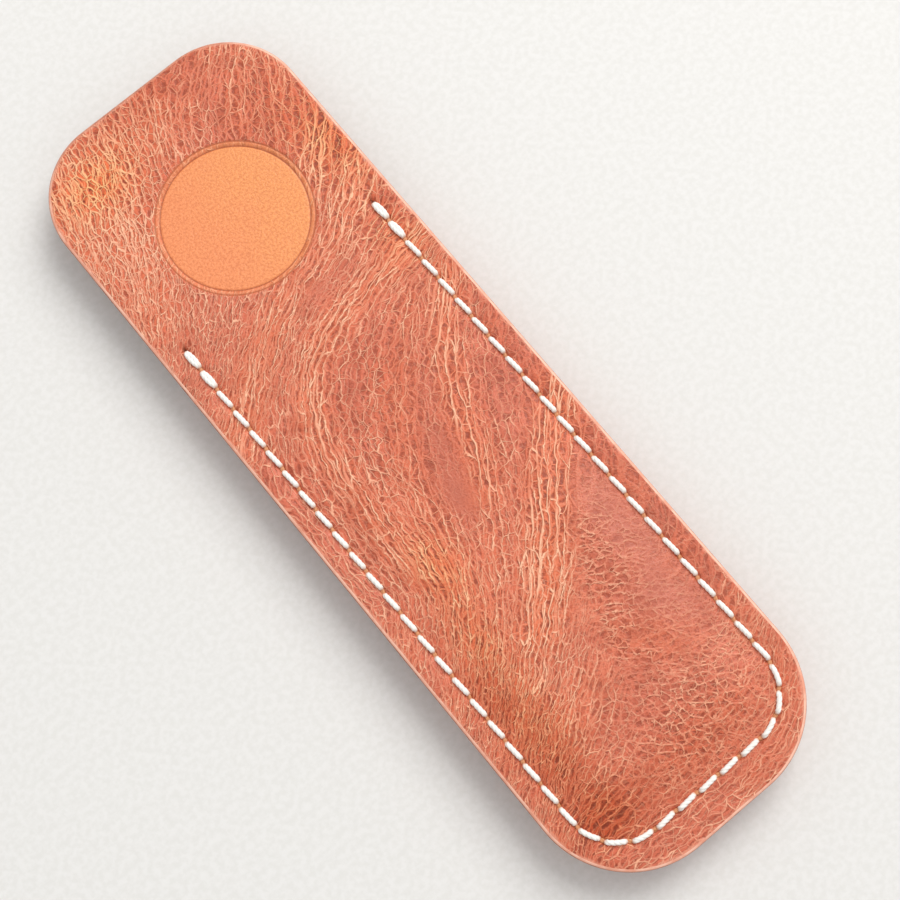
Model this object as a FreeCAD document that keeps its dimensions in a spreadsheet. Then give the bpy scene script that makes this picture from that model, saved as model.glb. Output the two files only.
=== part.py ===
import FreeCAD, Part
import math
import os
import Sketcher
from FreeCAD import Placement, Rotation, Vector

# Leather sleeve for one fountain pen, lying on its formed pocket side. A long back panel carries a stamped
# roundel on its free tab, a shorter pocket panel is formed into a shallow trough behind it, and two threads
# lock together in every slit of one U-shaped seam. X is across, +Y points to the tab, Z is up from the table.

# Driving sizes in millimetres and degrees, each with its alias in the spreadsheet
SIZES = {
    "case_width": 50.0,
    "case_length": 160.0,
    "tab_corner_radius": 14.6,
    "end_corner_radius": 17.5,
    "back_thickness": 1.8,
    "pocket_thickness": 1.8,
    "pocket_length": 115.0,
    "pocket_room": 4.5,
    "form_radius": 9.5,
    "form_inset": 2.0,
    "edge_bevel": 0.4,
    "seam_side_margin": 4.4,
    "seam_end_margin": 6.5,
    "seam_corner_radius": 9.7,
    "stitch_length": 4.45,
    "slit_slant": 17.0,
    "thread_diameter": 0.55,
    "thread_clearance": 0.04,
    "roundel_diameter": 27.2,
    "roundel_from_tab_end": 29.8,
    "roundel_offset": 0.7,
    "roundel_depth": 0.3,
    "ring_inset": 0.7,
    "ring_width": 0.5,
    "ring_depth": 0.25,
}

# Count of flat sides on a thread, and where it starts to bend over a slit, as a share of its radius
THREAD_SIDES = 4
BEND_SHARE = 0.8
# A cutter passes a face that it has to break through by this much, and edges are picked to this tolerance
OVERCUT = 1.0
NEAR = 0.01

doc = FreeCAD.newDocument("pen_case")
sheet = doc.addObject("Spreadsheet::Sheet", "sizes")
for row, (alias, value) in enumerate(SIZES.items(), start=1):
    sheet.set("A%d" % row, alias)
    sheet.set("B%d" % row, str(value))
    sheet.setAlias("B%d" % row, alias)
doc.recompute()


def size(alias):
    """Value of one driving size, read back from the spreadsheet."""
    return float(sheet.get(alias))


# Levels and edges that follow from the driving sizes, as numbers and as sheet expressions
FLANGE_BOTTOM = size("pocket_room")
SEAM_PLANE = FLANGE_BOTTOM + size("pocket_thickness")
BACK_FACE = SEAM_PLANE + size("back_thickness")
END_Y = -size("case_length") / 2
LIP_Y = END_Y + size("pocket_length")
SEAM_HALF = size("case_width") / 2 - size("seam_side_margin")
SEAM_END_Y = END_Y + size("seam_end_margin")
FORM_HALF = SEAM_HALF - size("form_inset")

HALF_WIDTH_EXPR = "sizes.case_width / 2"
HALF_LENGTH_EXPR = "sizes.case_length / 2"
LIP_EXPR = "(sizes.pocket_length - sizes.case_length / 2)"
FORM_HALF_EXPR = "(sizes.case_width / 2 - sizes.seam_side_margin - sizes.form_inset)"
BOWL_EXPR = "(sizes.seam_end_margin + sizes.form_inset + %s - sizes.case_length / 2)" % FORM_HALF_EXPR
SEAM_PLANE_EXPR = "(sizes.pocket_room + sizes.pocket_thickness)"
BACK_FACE_EXPR = "(%s + sizes.back_thickness)" % SEAM_PLANE_EXPR


# Sketch helpers

def origin_plane(body, role):
    """One of the body's own origin planes."""
    for feature in body.Origin.OriginFeatures:
        if feature.Role == role:
            return feature


def new_sketch(body, name, role, offset_expr):
    """Empty sketch on an origin plane, moved along that plane's normal by an expression."""
    sketch = body.newObject("Sketcher::SketchObject", name)
    sketch.AttachmentSupport = [(origin_plane(body, role), "")]
    sketch.MapMode = "FlatFace"
    sketch.setExpression("AttachmentOffset.Base.z", offset_expr)
    return sketch


def bind(sketch, kind, where, value, expression):
    """Add one dimension to a sketch and tie it to the spreadsheet."""
    index = sketch.addConstraint(Sketcher.Constraint(kind, *where, value))
    sketch.setExpression("Constraints[%d]" % index, expression)


def arc(centre, radius, start_deg, end_deg):
    """Arc of a circle in sketch coordinates, counter-clockwise from start to end."""
    circle = Part.Circle(Vector(centre[0], centre[1], 0), Vector(0, 0, 1), radius)
    return Part.ArcOfCircle(circle, math.radians(start_deg), math.radians(end_deg))


def line(start, end):
    """Straight sketch edge between two points."""
    return Part.LineSegment(Vector(start[0], start[1], 0), Vector(end[0], end[1], 0))


def chain(sketch, edges, links):
    """Add edges in order round a closed outline and join each to the next, tangent or at a corner."""
    ids = [sketch.addGeometry(edge, False) for edge in edges]
    for place, link in enumerate(links):
        after = ids[(place + 1) % len(ids)]
        sketch.addConstraint(Sketcher.Constraint(link, ids[place], 2, after, 1))
    return ids


def square_up(sketch, level_ids, upright_ids):
    """Hold some lines level and some upright."""
    for edge in level_ids:
        sketch.addConstraint(Sketcher.Constraint("Horizontal", edge))
    for edge in upright_ids:
        sketch.addConstraint(Sketcher.Constraint("Vertical", edge))


def tab_outline(sketch):
    """Whole back panel: a rectangle with one corner radius at the tab and another at the closed end."""
    half = size("case_width") / 2
    low, high = END_Y, -END_Y
    low_r, high_r = size("end_corner_radius"), size("tab_corner_radius")
    edges = [
        line((low_r - half, low), (half - low_r, low)),
        arc((half - low_r, low + low_r), low_r, 270, 360),
        line((half, low + low_r), (half, high - high_r)),
        arc((half - high_r, high - high_r), high_r, 0, 90),
        line((half - high_r, high), (high_r - half, high)),
        arc((high_r - half, high - high_r), high_r, 90, 180),
        line((-half, high - high_r), (-half, low + low_r)),
        arc((low_r - half, low + low_r), low_r, 180, 270),
    ]
    ids = chain(sketch, edges, ["Tangent"] * 8)
    square_up(sketch, (ids[0], ids[4]), (ids[2], ids[6]))
    sketch.addConstraint(Sketcher.Constraint("Equal", ids[1], ids[7]))
    sketch.addConstraint(Sketcher.Constraint("Equal", ids[3], ids[5]))
    bind(sketch, "Radius", (ids[1],), low_r, "sizes.end_corner_radius")
    bind(sketch, "Radius", (ids[3],), high_r, "sizes.tab_corner_radius")
    bind(sketch, "DistanceX", (-1, 1, ids[2], 1), half, HALF_WIDTH_EXPR)
    bind(sketch, "DistanceX", (ids[6], 1, -1, 1), half, HALF_WIDTH_EXPR)
    bind(sketch, "DistanceY", (ids[0], 1, -1, 1), -low, HALF_LENGTH_EXPR)
    bind(sketch, "DistanceY", (-1, 1, ids[4], 1), high, HALF_LENGTH_EXPR)


def pocket_outline(sketch):
    """Pocket panel: straight lip across the mouth, and the back panel's two corners at the closed end."""
    half = size("case_width") / 2
    low_r = size("end_corner_radius")
    edges = [
        line((low_r - half, END_Y), (half - low_r, END_Y)),
        arc((half - low_r, END_Y + low_r), low_r, 270, 360),
        line((half, END_Y + low_r), (half, LIP_Y)),
        line((half, LIP_Y), (-half, LIP_Y)),
        line((-half, LIP_Y), (-half, END_Y + low_r)),
        arc((low_r - half, END_Y + low_r), low_r, 180, 270),
    ]
    ids = chain(sketch, edges, ["Tangent", "Tangent", "Coincident", "Coincident", "Tangent", "Tangent"])
    square_up(sketch, (ids[0], ids[3]), (ids[2], ids[4]))
    sketch.addConstraint(Sketcher.Constraint("Equal", ids[1], ids[5]))
    bind(sketch, "Radius", (ids[1],), low_r, "sizes.end_corner_radius")
    bind(sketch, "DistanceX", (-1, 1, ids[2], 1), half, HALF_WIDTH_EXPR)
    bind(sketch, "DistanceX", (ids[4], 1, -1, 1), half, HALF_WIDTH_EXPR)
    bind(sketch, "DistanceY", (ids[0], 1, -1, 1), -END_Y, HALF_LENGTH_EXPR)
    bind(sketch, "DistanceY", (ids[0], 1, ids[3], 1), size("pocket_length"), "sizes.pocket_length")


def trough_section(sketch, outer):
    """Half of the trough's section. From the flange the leather turns down on one arc, turns level again on
    a second and runs flat to the middle. The inner face has the same arc centres, one thickness away."""
    thickness = size("pocket_thickness")
    drop = size("pocket_room")
    if outer:
        floor, lid, wall = 0.0, FLANGE_BOTTOM + thickness / 2, 0.0
        lid_expr = "sizes.pocket_room + sizes.pocket_thickness / 2"
        wall_expr = "0"
    else:
        floor, lid, wall = thickness, SEAM_PLANE + OVERCUT, thickness
        lid_expr = "%s + %s" % (SEAM_PLANE_EXPR, OVERCUT)
        wall_expr = "sizes.pocket_thickness"
    turn_r = size("form_radius") + wall
    foot_r = size("form_radius") - wall
    reach = math.sqrt(drop * (2 * (turn_r + foot_r) - drop))
    swing = math.degrees(math.asin(reach / (turn_r + foot_r)))
    foot = (FORM_HALF - reach, floor + foot_r)
    turn = (FORM_HALF, floor + drop - turn_r)
    edges = [
        line((0, floor), (foot[0], floor)),
        arc(foot, foot_r, 270, 270 + swing),
        arc(turn, turn_r, 90, 90 + swing),
        line((FORM_HALF, floor + drop), (FORM_HALF, lid)),
        line((FORM_HALF, lid), (0, lid)),
        line((0, lid), (0, floor)),
    ]
    ids = [sketch.addGeometry(edge, False) for edge in edges]
    joints = [
        ("Tangent", ids[0], 2, ids[1], 1),
        ("Tangent", ids[1], 2, ids[2], 2),
        ("Perpendicular", ids[2], 1, ids[3], 1),
        ("Coincident", ids[3], 2, ids[4], 1),
        ("Coincident", ids[4], 2, ids[5], 1),
        ("Coincident", ids[5], 2, ids[0], 1),
        ("PointOnObject", ids[5], 2, -2),
    ]
    for joint in joints:
        sketch.addConstraint(Sketcher.Constraint(*joint))
    square_up(sketch, (ids[0], ids[4]), (ids[3], ids[5]))
    bind(sketch, "Radius", (ids[1],), foot_r, "sizes.form_radius - %s" % wall_expr)
    bind(sketch, "Radius", (ids[2],), turn_r, "sizes.form_radius + %s" % wall_expr)
    bind(sketch, "DistanceX", (-1, 1, ids[3], 1), FORM_HALF, FORM_HALF_EXPR)
    bind(sketch, "DistanceY", (ids[0], 1, ids[3], 1), drop, "sizes.pocket_room")
    bind(sketch, "DistanceY", (ids[5], 2, ids[5], 1), lid - floor, "%s - %s" % (lid_expr, wall_expr))
    bind(sketch, "DistanceY", (-1, 1, ids[5], 2), floor, wall_expr)


# Feature helpers

def extrude(body, kind, name, sketch, length_expr, reverse=False):
    """Pad or pocket of one sketch with its length tied to the spreadsheet."""
    feature = body.newObject("PartDesign::" + kind, name)
    feature.Profile = sketch
    feature.Reversed = reverse
    feature.setExpression("Length", length_expr)
    doc.recompute()
    return feature


def half_turn(body, kind, name, sketch):
    """Half revolution or half groove of a sketch about its own upright axis, towards the closed end."""
    feature = body.newObject("PartDesign::" + kind, name)
    feature.Profile = sketch
    feature.ReferenceAxis = (sketch, ["V_Axis"])
    feature.Angle = 180
    feature.Reversed = True
    doc.recompute()


def bevel_edges(body, name, feature, wanted):
    """Bevel every edge of a feature that passes a test."""
    names = []
    for number, edge in enumerate(feature.Shape.Edges, start=1):
        if wanted(edge.BoundBox):
            names.append("Edge%d" % number)
    bevel = body.newObject("PartDesign::Chamfer", name)
    bevel.Base = (feature, names)
    bevel.setExpression("Size", "sizes.edge_bevel")
    doc.recompute()


# Panels

def back_panel_blank():
    """Flat back panel with its tab, the arris of the grain side bevelled and the roundel pressed in."""
    body = doc.addObject("PartDesign::Body", "back_panel_blank")
    outline = new_sketch(body, "back_outline", "XY_Plane", SEAM_PLANE_EXPR)
    tab_outline(outline)
    leather = extrude(body, "Pad", "back_leather", outline, "sizes.back_thickness")
    bevel_edges(body, "back_arris", leather, lambda box: box.ZMin > BACK_FACE - NEAR)
    disc = new_sketch(body, "roundel_disc", "XY_Plane", BACK_FACE_EXPR)
    roundel_circle(disc, "sizes.roundel_diameter / 2")
    extrude(body, "Pocket", "roundel_recess", disc, "sizes.roundel_depth")
    ring = new_sketch(body, "roundel_ring", "XY_Plane", "%s - sizes.roundel_depth" % BACK_FACE_EXPR)
    roundel_circle(ring, "sizes.roundel_diameter / 2 - sizes.ring_inset")
    roundel_circle(ring, "sizes.roundel_diameter / 2 - sizes.ring_inset - sizes.ring_width")
    extrude(body, "Pocket", "roundel_line", ring, "sizes.ring_depth")
    return body


def roundel_circle(sketch, radius_expr):
    """Circle about the roundel's centre on the tab."""
    centre = Vector(size("roundel_offset"), -END_Y - size("roundel_from_tab_end"), 0)
    circle = sketch.addGeometry(Part.Circle(centre, Vector(0, 0, 1), size("roundel_diameter") / 2), False)
    bind(sketch, "Radius", (circle,), size("roundel_diameter") / 2, radius_expr)
    bind(sketch, "DistanceX", (-1, 1, circle, 3), centre.x, "sizes.roundel_offset")
    centre_expr = "sizes.case_length / 2 - sizes.roundel_from_tab_end"
    bind(sketch, "DistanceY", (-1, 1, circle, 3), centre.y, centre_expr)


def pocket_panel_blank():
    """Pocket panel: a flat flange all round the seam, and a trough with a bowl-shaped closed end."""
    body = doc.addObject("PartDesign::Body", "pocket_panel_blank")
    outline = new_sketch(body, "pocket_outline", "XY_Plane", "sizes.pocket_room")
    pocket_outline(outline)
    flange = extrude(body, "Pad", "flange", outline, "sizes.pocket_thickness")
    bevel_edges(body, "flange_arris", flange,
                lambda box: box.ZMax < FLANGE_BOTTOM + NEAR and box.YMin < LIP_Y - NEAR)
    trough_expr = "%s - %s" % (LIP_EXPR, BOWL_EXPR)
    troughs = []
    for outer, pull, turn in ((True, "Pad", "Revolution"), (False, "Pocket", "Groove")):
        side = "outer" if outer else "inner"
        run = new_sketch(body, side + "_trough_section", "XZ_Plane", "-" + LIP_EXPR)
        trough_section(run, outer)
        troughs.append(extrude(body, pull, side + "_trough", run, trough_expr, not outer))
        end = new_sketch(body, side + "_bowl_section", "XZ_Plane", "-" + BOWL_EXPR)
        trough_section(end, outer)
        half_turn(body, turn, side + "_bowl", end)
    mirror = body.newObject("PartDesign::Mirrored", "other_half")
    mirror.Originals = troughs
    mirror.MirrorPlane = (origin_plane(body, "YZ_Plane"), [""])
    body.Tip = mirror
    doc.recompute()
    return body


# Seam: slits spaced evenly along a U-shaped line, the first and last half a stitch beyond the lip

def seam_place(distance):
    """Point and heading on the seam line, counted from the lip on the +X side, round the end and back."""
    radius = size("seam_corner_radius")
    straight = LIP_Y - SEAM_END_Y - radius
    corner = radius * math.pi / 2
    across = 2 * (SEAM_HALF - radius)
    if distance <= straight:
        return Vector(SEAM_HALF, LIP_Y - distance, 0), Vector(0, -1, 0)
    distance -= straight
    if distance <= corner:
        turn = distance / radius
        out = Vector(math.cos(turn), -math.sin(turn), 0)
        return Vector(SEAM_HALF - radius, SEAM_END_Y + radius, 0) + out * radius, Vector(out.y, -out.x, 0)
    distance -= corner
    if distance <= across:
        return Vector(SEAM_HALF - radius - distance, SEAM_END_Y, 0), Vector(-1, 0, 0)
    distance -= across
    if distance <= corner:
        turn = distance / radius
        out = Vector(-math.sin(turn), -math.cos(turn), 0)
        return Vector(radius - SEAM_HALF, SEAM_END_Y + radius, 0) + out * radius, Vector(out.y, -out.x, 0)
    distance -= corner
    return Vector(-SEAM_HALF, SEAM_END_Y + radius + distance, 0), Vector(0, 1, 0)


def seam_stations():
    """Place, needle direction and bobbin direction of every slit along the seam."""
    radius = size("seam_corner_radius")
    length = 2 * (LIP_Y - SEAM_END_Y - radius) + math.pi * radius + 2 * (SEAM_HALF - radius)
    inside = round(length / size("stitch_length"))
    pitch = length / inside
    slant = Rotation(Vector(0, 0, 1), -size("slit_slant"))
    across = Rotation(Vector(0, 0, 1), 90)
    stations = []
    for number in range(inside + 2):
        place, heading = seam_place((number - 0.5) * pitch)
        needle = slant.multVec(heading)
        stations.append((place, needle, across.multVec(needle)))
    print("stitches", inside + 1, "pitch", round(pitch, 3))
    return stations


THREAD_R = size("thread_diameter") / 2
LEG_OFFSET = size("thread_diameter") + size("thread_clearance")
# The threads lock just inside the back panel, one thread over the seam plane
LOCK_Z = SEAM_PLANE + size("thread_diameter") + size("thread_clearance")
KNOT_TOP = LOCK_Z + size("thread_diameter") + 2 * size("thread_clearance")


def slit(place, direction, bottom, top):
    """Upright slit for the two legs of one thread, with clearance all round."""
    clear = THREAD_R + size("thread_clearance")
    half_long = LEG_OFFSET + clear
    box = Part.makeBox(2 * half_long, 2 * clear, top - bottom, Vector(-half_long, -clear, 0))
    turn = Rotation(Vector(1, 0, 0), direction)
    box.Placement = Placement(Vector(place.x, place.y, bottom), turn)
    return box


def slits_feature(name, cutters):
    """All slits of one panel, as one cutting tool."""
    feature = doc.addObject("Part::Feature", name)
    feature.Shape = Part.makeCompound(cutters)
    return feature


def cut_panel(label, blank, slits):
    """Finished panel: the blank with its row of slits."""
    panel = doc.addObject("Part::Cut", label)
    panel.Base = blank
    panel.Tool = slits
    panel.Label = label
    return panel


def back_panel(stations):
    """Long panel with needle slits right through, and room for the bobbin loops on its flesh side."""
    cutters = []
    for place, along, across in stations:
        cutters.append(slit(place, along, SEAM_PLANE - OVERCUT, BACK_FACE + OVERCUT))
        cutters.append(slit(place, across, SEAM_PLANE - OVERCUT, KNOT_TOP))
    return cut_panel("back_panel", back_panel_blank(), slits_feature("back_slits", cutters))


def pocket_panel(stations):
    """Formed panel with bobbin slits through its flange, all but the two that lie beyond its lip."""
    cutters = []
    for place, along, across in stations[1:-1]:
        cutters.append(slit(place, across, FLANGE_BOTTOM - OVERCUT, SEAM_PLANE + OVERCUT))
    return cut_panel("pocket_panel", pocket_panel_blank(), slits_feature("pocket_slits", cutters))


# Threads: each dips into every slit and turns back round the other thread's loop

def thread_route(stations, needle):
    """Corner points of one thread from its first loop to its last, with the bends over the slits eased."""
    up = Vector(0, 0, 1 if needle else -1)
    clear = size("thread_clearance")
    run = BACK_FACE + THREAD_R + clear if needle else FLANGE_BOTTOM - THREAD_R - clear
    ease = BEND_SHARE * THREAD_R
    turn = LOCK_Z - up.z * (THREAD_R + clear / 2)
    legs = []
    for place, along, across in stations:
        direction = along if needle else across
        legs.append((place - direction * LEG_OFFSET, place + direction * LEG_OFFSET))
    points = []
    for number, (down_leg, up_leg) in enumerate(legs):
        if number > 0:
            heading = (down_leg - legs[number - 1][1]).normalize()
            points.append(down_leg - heading * ease + Vector(0, 0, run))
            points.append(down_leg + Vector(0, 0, run - up.z * ease))
        points.append(down_leg + Vector(0, 0, turn))
        points.append(up_leg + Vector(0, 0, turn))
        if number < len(legs) - 1:
            heading = (legs[number + 1][0] - up_leg).normalize()
            points.append(up_leg + Vector(0, 0, run - up.z * ease))
            points.append(up_leg + heading * ease + Vector(0, 0, run))
    if not needle:
        over_lip(points, run)
    return points


def over_lip(points, run):
    """Lead the first and last bobbin stitch from the tab's flesh side slanting over the pocket's lip."""
    lip = LIP_Y + THREAD_R + size("thread_clearance")
    below_tab = SEAM_PLANE - THREAD_R
    for leg, beyond in ((2, 3), (-3, -4)):
        start = points[leg]
        ahead = points[beyond + (1 if beyond > 0 else -1)]
        share = (start.y - lip) / (start.y - ahead.y)
        points[leg] = Vector(start.x, start.y, below_tab)
        points[beyond] = Vector(start.x + (ahead.x - start.x) * share, lip, run)


def mitred_rings(points):
    """Sections of a thread at its corner points: each is the last one slid along to the next mitre plane."""
    headings = [(after - before).normalize() for before, after in zip(points, points[1:])]
    side = headings[0].cross(Vector(0, 0, 1)).normalize() * THREAD_R
    ring = []
    for count in range(THREAD_SIDES):
        turn = Rotation(headings[0], 360 * count / THREAD_SIDES)
        ring.append(points[0] + turn.multVec(side))
    rings = [ring]
    for corner, heading, after in zip(points[1:], headings, headings[1:] + headings[-1:]):
        mitre = heading + after
        ring = [spot + heading * ((corner - spot).dot(mitre) / heading.dot(mitre)) for spot in ring]
        rings.append(ring)
    return rings


def thread(label, stations, needle):
    """One unbroken thread: a flat-sided section carried along its route and mitred at every corner."""
    points = thread_route(stations, needle)
    rings = mitred_rings(points)
    outlines = [rings[0], rings[-1]]
    for before, after in zip(rings, rings[1:]):
        for count in range(THREAD_SIDES):
            last = count - 1
            outlines.append([before[last], before[count], after[count], after[last]])
    shell = Part.makeShell([Part.Face(Part.makePolygon(spots + spots[:1])) for spots in outlines])
    shell.sewShape()
    feature = doc.addObject("Part::Feature", label)
    feature.Shape = Part.makeSolid(shell)
    feature.Label = label
    length = sum((after - before).Length for before, after in zip(points, points[1:]))
    section = THREAD_SIDES / 2 * THREAD_R ** 2 * math.sin(2 * math.pi / THREAD_SIDES)
    print(label, "length", round(length, 1), "volume", feature.Shape.Volume, "section by length", section * length)
    return feature


def check_document(parts):
    """Stop before anything is written if an object failed or a sub-part has no valid solid."""
    for item in doc.Objects:
        if "Invalid" in item.State or "Error" in item.State:
            raise RuntimeError("%s failed: %s" % (item.Name, item.State))
    for item in parts:
        if item.Shape.isNull() or not item.Shape.isValid() or len(item.Shape.Solids) != 1:
            raise RuntimeError("%s has no single valid solid" % item.Label)


def main():
    """Build the four sub-parts, check them and write one STEP file each."""
    stations = seam_stations()
    parts = [
        back_panel(stations),
        pocket_panel(stations),
        thread("needle_thread", stations, True),
        thread("bobbin_thread", stations, False),
    ]
    doc.recompute()
    check_document(parts)
    os.makedirs("parts", exist_ok=True)
    for item in parts:
        item.Shape.exportStep("parts/%s.step" % item.Label)


main()
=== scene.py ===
import math
import bpy
import numpy as np
from mathutils import Matrix, Vector


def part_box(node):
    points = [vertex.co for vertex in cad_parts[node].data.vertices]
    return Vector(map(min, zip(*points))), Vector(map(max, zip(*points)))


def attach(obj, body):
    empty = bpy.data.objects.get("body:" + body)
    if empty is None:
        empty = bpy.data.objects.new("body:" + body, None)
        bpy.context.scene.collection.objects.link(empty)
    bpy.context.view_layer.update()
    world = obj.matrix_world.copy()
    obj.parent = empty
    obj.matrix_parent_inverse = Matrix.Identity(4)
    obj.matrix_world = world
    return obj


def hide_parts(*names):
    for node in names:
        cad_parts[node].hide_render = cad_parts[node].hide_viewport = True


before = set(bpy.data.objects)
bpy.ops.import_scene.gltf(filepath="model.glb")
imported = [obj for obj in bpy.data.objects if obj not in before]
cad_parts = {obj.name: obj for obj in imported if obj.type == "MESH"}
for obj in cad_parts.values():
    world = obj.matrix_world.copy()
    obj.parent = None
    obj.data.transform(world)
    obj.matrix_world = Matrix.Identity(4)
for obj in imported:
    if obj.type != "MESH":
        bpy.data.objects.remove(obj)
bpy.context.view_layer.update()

# Leather pen sleeve lying on its formed pocket: two pieces of crackled pull-up leather and two waxed threads.
# Lengths are in millimetres and angles in degrees until a mesh is made, which is in metres.

MM = 0.001
BACK_LOW, BACK_HIGH = np.array([list(corner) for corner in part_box("back_panel")]) / MM
POCKET_LOW, POCKET_HIGH = np.array([list(corner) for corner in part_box("pocket_panel")]) / MM

# Outline of the two panels, and how their edges are rounded
HALF_WIDTH = BACK_HIGH[0]
END_Y = BACK_LOW[1]
TAB_Y = BACK_HIGH[1]
LIP_Y = POCKET_HIGH[1]
TAB_CORNER = 14.6
END_CORNER = 17.5
LIP_CORNER = 0.8
BACK_OUTLINE = (END_Y, TAB_Y, END_CORNER, TAB_CORNER)
POCKET_OUTLINE = (END_Y, LIP_Y, END_CORNER, LIP_CORNER)
GRAIN_ROUND = 0.5
FLESH_ROUND = 0.25
ROUND_ANGLES = (25, 50, 72, 90)
WALL_BULGE = 0.03
BULGE_DEPTH = 0.45

# Levels of the faces, from the table up
SEAM_PLANE = BACK_LOW[2]
BACK_FACE = BACK_HIGH[2]
POCKET_WALL = 1.8
FLANGE_BOTTOM = SEAM_PLANE - POCKET_WALL
POCKET_ROOM = FLANGE_BOTTOM - POCKET_LOW[2]
FORM_RADIUS = 9.5
FORM_INSET = 2.0

# Seam line, its stitches, and how far the thread pulls the leather in
SEAM_HALF = HALF_WIDTH - 4.4
SEAM_END_Y = END_Y + 6.5
SEAM_CORNER = 9.7
SEAM_SIDE = LIP_Y - SEAM_END_Y - SEAM_CORNER
SEAM_ARC = SEAM_CORNER * math.pi / 2
SEAM_RUN = 2 * (SEAM_HALF - SEAM_CORNER)
SEAM_LENGTH = 2 * SEAM_SIDE + 2 * SEAM_ARC + SEAM_RUN
STITCH_AIM = 4.45
STITCHES_INSIDE = round(SEAM_LENGTH / STITCH_AIM)
PITCH = SEAM_LENGTH / STITCHES_INSIDE
VALLEY_DEPTH = 0.22
VALLEY_WIDTH = 1.3
HOLE_DEPTH = 1.0
HOLE_LENGTH = 0.72
HOLE_WIDTH = 0.42

# Roundel pressed into the tab, and the square block of the net that is bent round it
ROUNDEL_X = 0.55
ROUNDEL_Y = TAB_Y - 29.8
ROUNDEL_RADIUS = 13.95
ROUNDEL_DEPTH = 0.26
DISC_RADIUS = ROUNDEL_RADIUS - 0.85
RING_WIDTH = 0.17
RING_DEPTH = 0.16
BLOCK_HALF = 15.0
BLOCK_STEPS = 60

# Spacing of the nets' rows and columns
ROWS_TO_STITCH = 9
LOW_ROW_GAP = 0.2
HIGH_ROW_GAP = 0.15
COLUMN_STEP = 0.7
FINE_STEP = 0.3
FINE_HALF = 1.6

# Soft forms of the back panel: it stands up a little over the pocket, most near the closed end, and it has
# slow waves, each with its radians per millimetre across and along, and its start
SWELL = 1.25
SWELL_REACH = 10.0
SWELL_FROM_Y, SWELL_FULL_Y = 28, -38
WAVE = 0.12
WAVES = [(0.11, 0.07, 0.4), (-0.06, 0.13, 1.9), (0.17, -0.045, 3.1)]

# Creases of the hide that show on the back panel. Each has a strength, a spread to either side and the
# points that it runs through. Between them the grain turns smoothly from one direction to the next.
CREASES = [
    (0.45, 5, [(4, 81), (1, 72), (-1, 63)]),
    (0.45, 5, [(-7, 81), (-9, 72), (-12, 64)]),
    (0.40, 4, [(17, 79), (11, 74), (4, 70)]),
    (0.50, 4, [(21, 75), (15, 68), (11, 62)]),
    (0.45, 4, [(24, 70), (20, 62), (16, 56)]),
    (0.40, 5, [(-19, 78), (-22, 66), (-23, 58)]),
    (0.45, 5, [(-14, 62), (-18, 52), (-22, 44)]),
    (0.80, 3.5, [(26, 56), (19, 51), (13, 45)]),
    (0.75, 4, [(26, 46), (19, 41), (11, 36)]),
    (0.65, 4, [(10, 37), (-3, 33), (-14, 26), (-24, 18)]),
    (0.75, 3.5, [(24, 27), (14, 26), (5, 25), (-3, 23), (-9, 18), (-13, 9), (-14, 0)]),
    (0.60, 4, [(-14, 0), (-14, -11), (-12, -21)]),
    (0.40, 4, [(-12, -21), (-15, -31), (-20, -40)]),
    (0.45, 4, [(15, 20), (7, 12), (0, 4), (-5, -5), (-7, -15), (-9, -24), (-15, -35)]),
    (0.80, 3.5, [(23, 20), (15, 11), (9, 0), (6, -9), (2, -16)]),
    (0.45, 3.5, [(2, -16), (-4, -25), (-12, -35)]),
    (1.00, 4.5, [(25, -8), (19, -13), (12, -20), (5, -28), (-3, -36), (-7, -39)]),
    (0.45, 4.5, [(-7, -39), (-11, -42), (-20, -50)]),
    (0.20, 4, [(2, -43), (6, -39), (10, -38), (14, -40)]),
    (0.45, 4, [(4, -46), (8, -50), (14, -55)]),
    (0.35, 3, [(26, -27), (21, -30)]),
    (0.30, 3, [(26, -41), (19, -44)]),
    (0.30, 3, [(26, -58), (18, -60)]),
    (0.40, 4.5, [(-4, -49), (-12, -53), (-20, -60)]),
    (0.30, 5, [(16, -66), (0, -68), (-16, -66)]),
    (0.35, 2.5, [(-26, -28), (-21, -23)]),
    (0.35, 2.5, [(-26, -41), (-21, -36)]),
    (0.35, 2.5, [(-26, -54), (-21, -49)]),
    (0.35, 2.5, [(-25, -66), (-21, -61)]),
    (0.35, 2.5, [(4, -77), (12, -76), (19, -71), (24, -63)]),
    (0.35, 2.5, [(21, -55), (26, -52)]),
    (0.30, 2.5, [(21, -26), (26, -24)]),
    (0.30, 2.5, [(21, 6), (26, 9)]),
]

# Patches of the hide: centre, half sizes and depth. In calm ones the hide is smooth and darker, and those with
# a depth below zero are crackled more than the rest
CALM_PATCHES = [
    (-0.6, -12, 3.5, 5.5, 1), (2.5, -3, 2.6, 4.5, 0.6), (6, 5.5, 2.6, 4.5, 0.5),
    (9.5, 13, 2.6, 4.5, 0.45), (-2.4, 13.8, 2.5, 4, 0.5), (2.6, 31.3, 4, 2.5, 0.6),
    (17, -28, 5, 7, 0.55), (16.5, -40, 5.5, 8, 0.55), (15.5, -52, 5.5, 6, 0.4),
    (9.2, -46, 5, 6, 0.45), (-14.5, 2.6, 3, 5, 0.3), (11.3, 74, 4.5, 4, 0.35),
    (-15, 62, 11, 18, -0.9), (-6, 74, 13, 7, -0.6), (20, 54, 7, 18, -0.6),
    (0, 12, 5, 7, -0.5), (-8, -2, 5, 9, -0.3), (3, -30, 5, 7, -0.35),
    (-13, -46, 7, 15, -0.25),
]

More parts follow.
